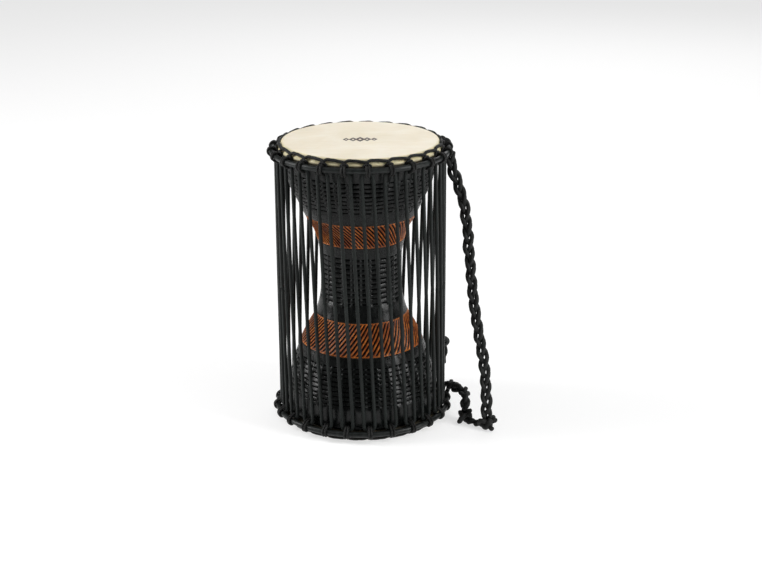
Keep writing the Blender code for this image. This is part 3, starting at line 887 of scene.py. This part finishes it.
def make_shell(mats):
    """The carved shell, outside and bore, as one closed mesh."""
    rng = np.random.default_rng(11)
    rows = shell_rows(rng)
    table_z = np.linspace(0, HEIGHT, 2000)
    table_r = np.array([shell_radius(z) for z in table_z])
    table_s = np.array([shear_at(z) for z in table_z])
    turn = np.arange(COLUMNS) / COLUMNS * TAU
    wobble = 0.00022 * np.sin(3 * turn + 0.6) + 0.00012 * np.sin(7 * turn)
    points, carve, kinds = [], [], []

    def add(kind, radius, z, cut):
        angle = turn + np.interp(z, table_z, table_s)
        points.append(np.stack([radius * np.sin(angle), -radius * np.cos(angle), z + 0 * angle], 1))
        carve.append(cut + 0 * angle)
        kinds.append(kind)

    full = np.ones(COLUMNS)

    def add_edge(shares, brink, up):
        """Rows of a rounded bearing edge: brink is the end's height and up its direction."""
        for share in shares:
            a = share * math.pi / 2
            radius = RIM_RADIUS - EDGE_ROUND + EDGE_ROUND * math.sin(a)
            add("plain", radius * full, (brink - up * EDGE_ROUND * (1 - math.cos(a))) * full, 0.0)

    add_edge((0.0, 0.3, 0.6, 0.85), SHELL_HIGH, 1)
    for kind, z, cut, lift in rows:
        depth = 0.0 if kind == "notch" else GROOVE_DEPTH
        add(kind, np.interp(z, table_z, table_r) + wobble - depth * cut + lift, z, np.clip(cut, 0, 1))
    add_edge((0.85, 0.6, 0.3, 0.0), SHELL_LOW, -1)
    for k in range(BORE_STEPS + 1):
        z = SHELL_LOW + (SHELL_HIGH - SHELL_LOW) * k / BORE_STEPS
        add("bore", (shell_radius(z) - WALL) * full, z * full, 0.0)
    points.append(points[0])
    carve.append(carve[0])
    kinds.append("plain")
    cuts = np.array(carve)
    around_cut = (cuts[1:] + cuts[:-1]) / 2
    face_cut = (around_cut + np.roll(around_cut, -1, axis=1)) / 2
    banded = np.array([first == "band" and second == "band" for first, second in zip(kinds, kinds[1:])])
    wood_faces = np.where(face_cut > DARK_GOUGE_FROM, DARK_GOUGE, BARE)
    slots = np.where(banded[:, None], wood_faces, np.where(face_cut > CUT_FROM, CUT, PAINTED))
    mesh = grid_mesh("carved_shell", np.array(points), slots, cuts)
    weld(mesh, 1e-6)
    stand_for(place("carved_shell", mesh, mats, sharp=38), "shell", "shell")


# ---- skins
def skin_section():
    """Half section of a skin as (radius, depth, waviness): face, fold, skirt and lap round its hoop."""
    face = [(SKIN_RADIUS * k / 26, 0.0, 0.0) for k in range(0, 26)]
    fold = [
        (SKIN_RADIUS - EDGE_ROUND * (1 - math.sin(a)), EDGE_ROUND * (1 - math.cos(a)), 0.0)
        for a in (math.radians(d) for d in range(15, 91, 15))
    ]
    neck = HOOP_DEPTH - LAP_RADIUS - 0.0006
    skirt = [(SKIN_RADIUS + 0.0002, (EDGE_ROUND + neck) / 2, 0.4), (SKIN_RADIUS + 0.0004, neck, 0.8)]
    lap = [
        (HOOP_RADIUS + LAP_RADIUS * math.cos(a), HOOP_DEPTH - LAP_RADIUS * math.sin(a), 1.0)
        for a in (math.radians(d) for d in range(60, -111, -17))
    ]
    tuck = [
        (HOOP_RADIUS + (HOOP_WIRE + GAP) * math.cos(a), HOOP_DEPTH - (HOOP_WIRE + GAP) * math.sin(a), 0.6)
        for a in (math.radians(d) for d in range(-110, 61, 34))
    ]
    under = [(SKIN_RADIUS - SKIN, neck, 0.2), (SKIN_RADIUS - SKIN, SKIN + 0.0004, 0.0)]
    back = [(SKIN_RADIUS * k / 6 - SKIN, SKIN, 0.0) for k in range(6, 0, -1)] + [(0.0, SKIN, 0.0)]
    return face + fold + skirt + lap + tuck + under + back


def make_head(name, node, end, mat, seed):
    """A skin: taut flat face, folded over the rim and gathered a little between the knots."""
    rng = np.random.default_rng(seed)
    segments = 192
    turn = np.arange(segments) / segments * TAU
    gather = 0.00035 * np.cos(KNOT_COUNT * (turn - FIRST_KNOT)) + 0.00012 * np.cos(61 * turn + 1.0)
    ripple = sum(rng.uniform(-1, 1) * np.cos(k * turn + rng.uniform(0, 6)) for k in range(2, 9)) * 0.00004
    rows = []
    for radius, depth, wave in skin_section():
        r = radius - gather * wave
        taut = 0.01 < radius < 0.08 and depth == 0
        d = depth + gather * wave * 0.8 + (ripple * radius / SKIN_RADIUS if taut else 0)
        z = level(end, np.maximum(d, 0.0))
        rows.append(np.stack([r * np.sin(turn), -r * np.cos(turn), z + 0 * turn], 1))
    if end < 0:
        rows = rows[::-1]
    mesh = grid_mesh(name, np.array(rows))
    weld(mesh, 2e-6, sliver=1e-7)
    ob = place(name, mesh, [mat], sharp=70)
    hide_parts(node)
    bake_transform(ob)


# ---- rings and lacing
# The run between two knots: share of the way, depth below the face, and how far out from the skin.
# It climbs quickly out of one knot and sinks slowly to the next.
WAVE = [
    (0.00, 0.0032, 0.0010),
    (0.07, 0.0022, 0.0006),
    (0.18, 0.0013, 0.0002),
    (0.42, 0.0014, 0.0001),
    (0.72, 0.0021, 0.0004),
    (0.92, 0.0030, 0.0008),
]
WAVE_WIRE = 0.0018  # its cord, swollen where it isn't pulled tight
LAY = {"ply": 3, "lay": 0.008, "groove": 0.14}
WRAP_LAY = {**LAY, "groove": 0.16}
WRAP_ASIDE = 0.0013  # a knot's two wraps lie this far either side of it
CAP = [(-0.0040, 0.0014, 0.0076), (-0.0030, 0.0004, 0.0056), (0.0, 0.0, 0.0048)]  # aside, inwards, depth
LACE_SIDES = 10


def make_ring(name, node, radius, wire, z, body, mat, slot, segments, sides, seed):
    """A bent rod, very slightly out of true."""
    rng = np.random.default_rng(seed)
    turn = np.arange(segments) / segments * TAU
    sway = sum(rng.uniform(-1, 1) * np.cos(k * turn + rng.uniform(0, 6)) for k in range(2, 7)) * 0.00004
    line = np.stack([(radius + sway) * np.sin(turn), -(radius + sway) * np.cos(turn), z + sway], 1)
    build = Build()
    build.tube(line, wire, sides, closed=True)
    stand_for(build.object(name, mat), node, body)


def make_lacing(name, node, end, body, mat, seed):
    """Stitch cord: a wavy cord round the skin, and at each knot a cap over two wraps that hold the ring."""
    rng = np.random.default_rng(seed)
    build = Build()
    wave = []
    for k in range(KNOT_COUNT):
        angle = FIRST_KNOT + k * KNOT_PITCH
        sag = rng.uniform(-0.0002, 0.0003)
        for share, depth, out in WAVE:
            deep = depth + sag if end > 0 else max(depth + sag, WAVE_WIRE + 0.0001)  # clear of the floor
            wave.append(around(angle + share * KNOT_PITCH, SKIN_RADIUS + WAVE_WIRE + out, level(end, deep)))
    build.tube(smooth_loop(wave, 3), WAVE_WIRE, LACE_SIDES, **LAY, closed=True)
    for k in range(KNOT_COUNT):
        angle = FIRST_KNOT + k * KNOT_PITCH + rng.uniform(-0.004, 0.004)
        add_knot(build, angle, end, rng)
    stand_for(build.object(name, mat), node, body)


def add_knot(build, angle, end, rng):
    """One knot: two loops round the ring and the tension cord's bight, under an arched cap."""
    between = LAP_CENTRE + (BIGHT_CENTRE - LAP_CENTRE).normalized() * (LAP_RADIUS + STITCH_REACH)
    wrap = [
        *bend(RING_CENTRE, RING_WIRE + STITCH_WIRE, -95, 47, 4),
        *bend(BIGHT_CENTRE, STRAND_WIRE + STITCH_WIRE, 60, 46, 4),
        between,
        PASSAGE_CENTRE,
    ]
    for hand in (-1, 1):
        aside = hand * (WRAP_ASIDE + rng.uniform(0, 0.0002))
        lean = rng.uniform(-0.0004, 0.0004)
        loop = []
        for k, (radius, depth) in enumerate(wrap):
            swing = aside + lean * math.sin(TAU * k / len(wrap))
            loop.append(around(angle + swing / RING_RADIUS, radius, level(end, depth)))
        build.tube(smooth_loop(loop, 4), STITCH_WIRE * 0.95, LACE_SIDES, **WRAP_LAY, closed=True)
    arch = CAP + [(-aside, inwards, depth) for aside, inwards, depth in CAP[-2::-1]]
    points = [
        around(angle + aside / RING_RADIUS, PASSAGE_CENTRE.x - inwards, level(end, depth))
        for aside, inwards, depth in arch
    ]
    build.tube(smooth_route(points, 5), STITCH_WIRE * 1.1, LACE_SIDES, **LAY, round_ends=True)


def make_tension_half(name, end, mat):
    """Half the tension cord: its bights under one ring and their strands down to mid height."""
    build = Build()
    quarter = KNOT_PITCH / 4
    middle = HEIGHT / 2
    for k in range(KNOT_COUNT):
        knot = FIRST_KNOT + k * KNOT_PITCH
        legs = []
        for hand in (-1, 1):
            top = knot + hand * quarter
            at_middle = top + (STRAND_TWIST / 2 if end > 0 else -STRAND_TWIST / 2)
            a = around(top, STRAND_RADIUS, level(end, STRAND_DEPTH))
            b = around(at_middle, STRAND_RADIUS, middle)
            legs.append([a.lerp(b, t) for t in (0.0, 0.03, 0.08, 0.2, 0.4, 0.6, 0.8, 1.0)])
        half_turn = [(0.97, 0.0036), (0.74, 0.0007), (0.30, 0.0)]
        turn = [(-aside, down) for aside, down in half_turn] + half_turn[::-1]
        depths = [(knot + quarter * aside, BIGHT_CENTRE.y + down) for aside, down in turn]
        arch = [around(angle, STRAND_RADIUS, level(end, depth)) for angle, depth in depths]
        points = [*legs[0][::-1], *arch, *legs[1]]
        build.tube(smooth_route(points, 3), STRAND_WIRE, CORD_SIDES)
    ob = build.object(name, mat)
    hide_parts("tension_cord")
    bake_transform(ob)


TIE_TAIL = [  # out, aside and up from the middle of the tie-off
    (-0.0004, 0.0016, -0.003),
    (0.0024, 0.0020, -0.008),
    (0.0030, 0.0006, -0.014),
    (0.0012, 0.0014, -0.020),
    (0.0016, 0.0026, -0.027),
]


def make_tie_off(mat):
    """The tied ends of the tension cord: two fat turns outside a strand, and a loose tail."""
    low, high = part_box("tie_off_knot")
    centre = (Vector(low) + Vector(high)) / 2
    outward = Vector((centre.x, centre.y, 0)).normalized()
    side = Vector((-outward.y, outward.x, 0))
    build = Build()

    def at(out, aside, up):
        return centre + outward * out + side * aside + Vector((0, 0, up))

    spins = [k / 40 * TAU for k in range(40)]
    loop = [
        at(0.0036 * math.cos(2 * t) + 0.0010, 0.0037 * math.sin(2 * t), 0.0038 * math.sin(t)) for t in spins
    ]
    build.tube(smooth_loop(loop, 3), STRAND_WIRE * 1.15, CORD_SIDES, closed=True)
    points = [at(*spot) for spot in TIE_TAIL]
    build.tube(smooth_route(points, 8), STRAND_WIRE * 0.95, CORD_SIDES, round_ends=True)
    stand_for(build.object("tension_tie_off", mat), "tie_off_knot", "shell")


# ---- stage
FLOOR_HALF, FLOOR_DROP = 40.0, 0.0002


def make_stage():
    """A plain, pale floor, a hair below the drum."""
    mesh = bpy.data.meshes.new("floor")
    half = FLOOR_HALF
    corners = [(-half, -half, 0), (half, -half, 0), (half, half, 0), (-half, half, 0)]
    mesh.from_pydata(corners, [], [(0, 1, 2, 3)])
    floor = add_object("floor", mesh)
    floor.location.z = -FLOOR_DROP
    m = Mat("pale_floor", 0.9, Specular_IOR_Level=0.0, Emission_Strength=0.62)
    m.shader.inputs["Base Color"].default_value = (0.45, 0.45, 0.45, 1.0)
    m.shader.inputs["Emission Color"].default_value = (1.0, 1.0, 1.0, 1.0)
    mesh.materials.append(m.mat)


def add_area(name, azimuth, distance, height, size, power):
    """A softbox that faces the drum, at an angle round it from the front towards the right."""
    data = bpy.data.lights.new(name, "AREA")
    data.shape = "RECTANGLE"
    data.size, data.size_y = size
    data.energy = power
    light = add_object(name, data)
    light.location = around(math.radians(azimuth), distance, height)
    aim = Vector((0.0, 0.0, HEIGHT / 2)) - light.location
    light.rotation_euler = aim.to_track_quat("-Z", "Y").to_euler()


def add_sky_light(strength, spread):
    """Wide, soft light from above, the same all over the floor."""
    data = bpy.data.lights.new("overhead", "SUN")
    data.energy = strength
    data.angle = math.radians(spread)
    add_object("overhead", data).location.z = 2.0


def make_lights():
    """Tall softboxes at both sides, one behind, wide light from above and a dim white surround."""
    world = bpy.data.worlds.new("world")
    world.use_nodes = True
    background = world.node_tree.nodes["Background"]
    background.inputs["Color"].default_value = (1.0, 1.0, 1.0, 1.0)
    background.inputs["Strength"].default_value = 0.13
    bpy.context.scene.world = world
    add_area("softbox_left", -92, 1.9, 1.15, (0.80, 1.7), 40)
    add_area("softbox_right", 64, 1.9, 1.15, (0.60, 1.7), 34)
    add_area("softbox_back", 165, 2.2, 1.4, (1.4, 1.2), 12)
    add_sky_light(0.54, 70)


# ---- scene
bpy.context.scene.view_settings.view_transform = "Standard"
make_camera()
strap_cord = twisted_cord("strap_cotton", (0.0008, 0.0009, 0.0008), (0.024, 0.025, 0.024))
make_strap(strap_cord)
# the notch cuts, nearly black: painted shade
cut = matt_cut("notch_cut", (0.0005, 0.0007, 0.0006), (0.0022, 0.0027, 0.0025))
# the bands' gouges, darkened nearly to black
dark_gouge_mat = matt_cut("darkened_groove", (0.0016, 0.0010, 0.0008), (0.0120, 0.0050, 0.0030))
make_shell([black_paint(), orange_wood(), cut, dark_gouge_mat])
rod, wire = black_metal(), bare_wire()
tension = woven_cord("tension_cord_weave", (0.0003, 0.0005, 0.0004), (0.0110, 0.0148, 0.0134), 8.0, 640.0)
lacing = woven_cord("lacing_cord_weave", (0.0012, 0.0012, 0.0012), (0.0110, 0.0112, 0.0105), 6.0, 700.0)
for word, end_, number in (("upper", 1, 21), ("lower", -1, 22)):
    carrier = f"{word}_hoop"
    make_head(f"{word}_skin", f"{word}_head", end_, goat_skin(end_), number)
    shape = (RING_RADIUS, RING_WIRE, level(end_, RING_DEPTH))
    make_ring(f"{word}_ring", f"{word}_tension_ring", *shape, carrier, rod, "ring_metal", 216, 16, number)
    shape = (HOOP_RADIUS, HOOP_WIRE, level(end_, HOOP_DEPTH))
    make_ring(
        f"{word}_hoop_wire", f"{word}_flesh_hoop", *shape, carrier, wire, "hoop_metal", 144, 10, number + 2
    )
    make_lacing(f"{word}_lacing", f"{word}_stitch_cord", end_, carrier, lacing, number + 4)
    make_tension_half(f"tension_cord_{word}", end_, tension)
make_tie_off(tension)
make_stage()
make_lights()
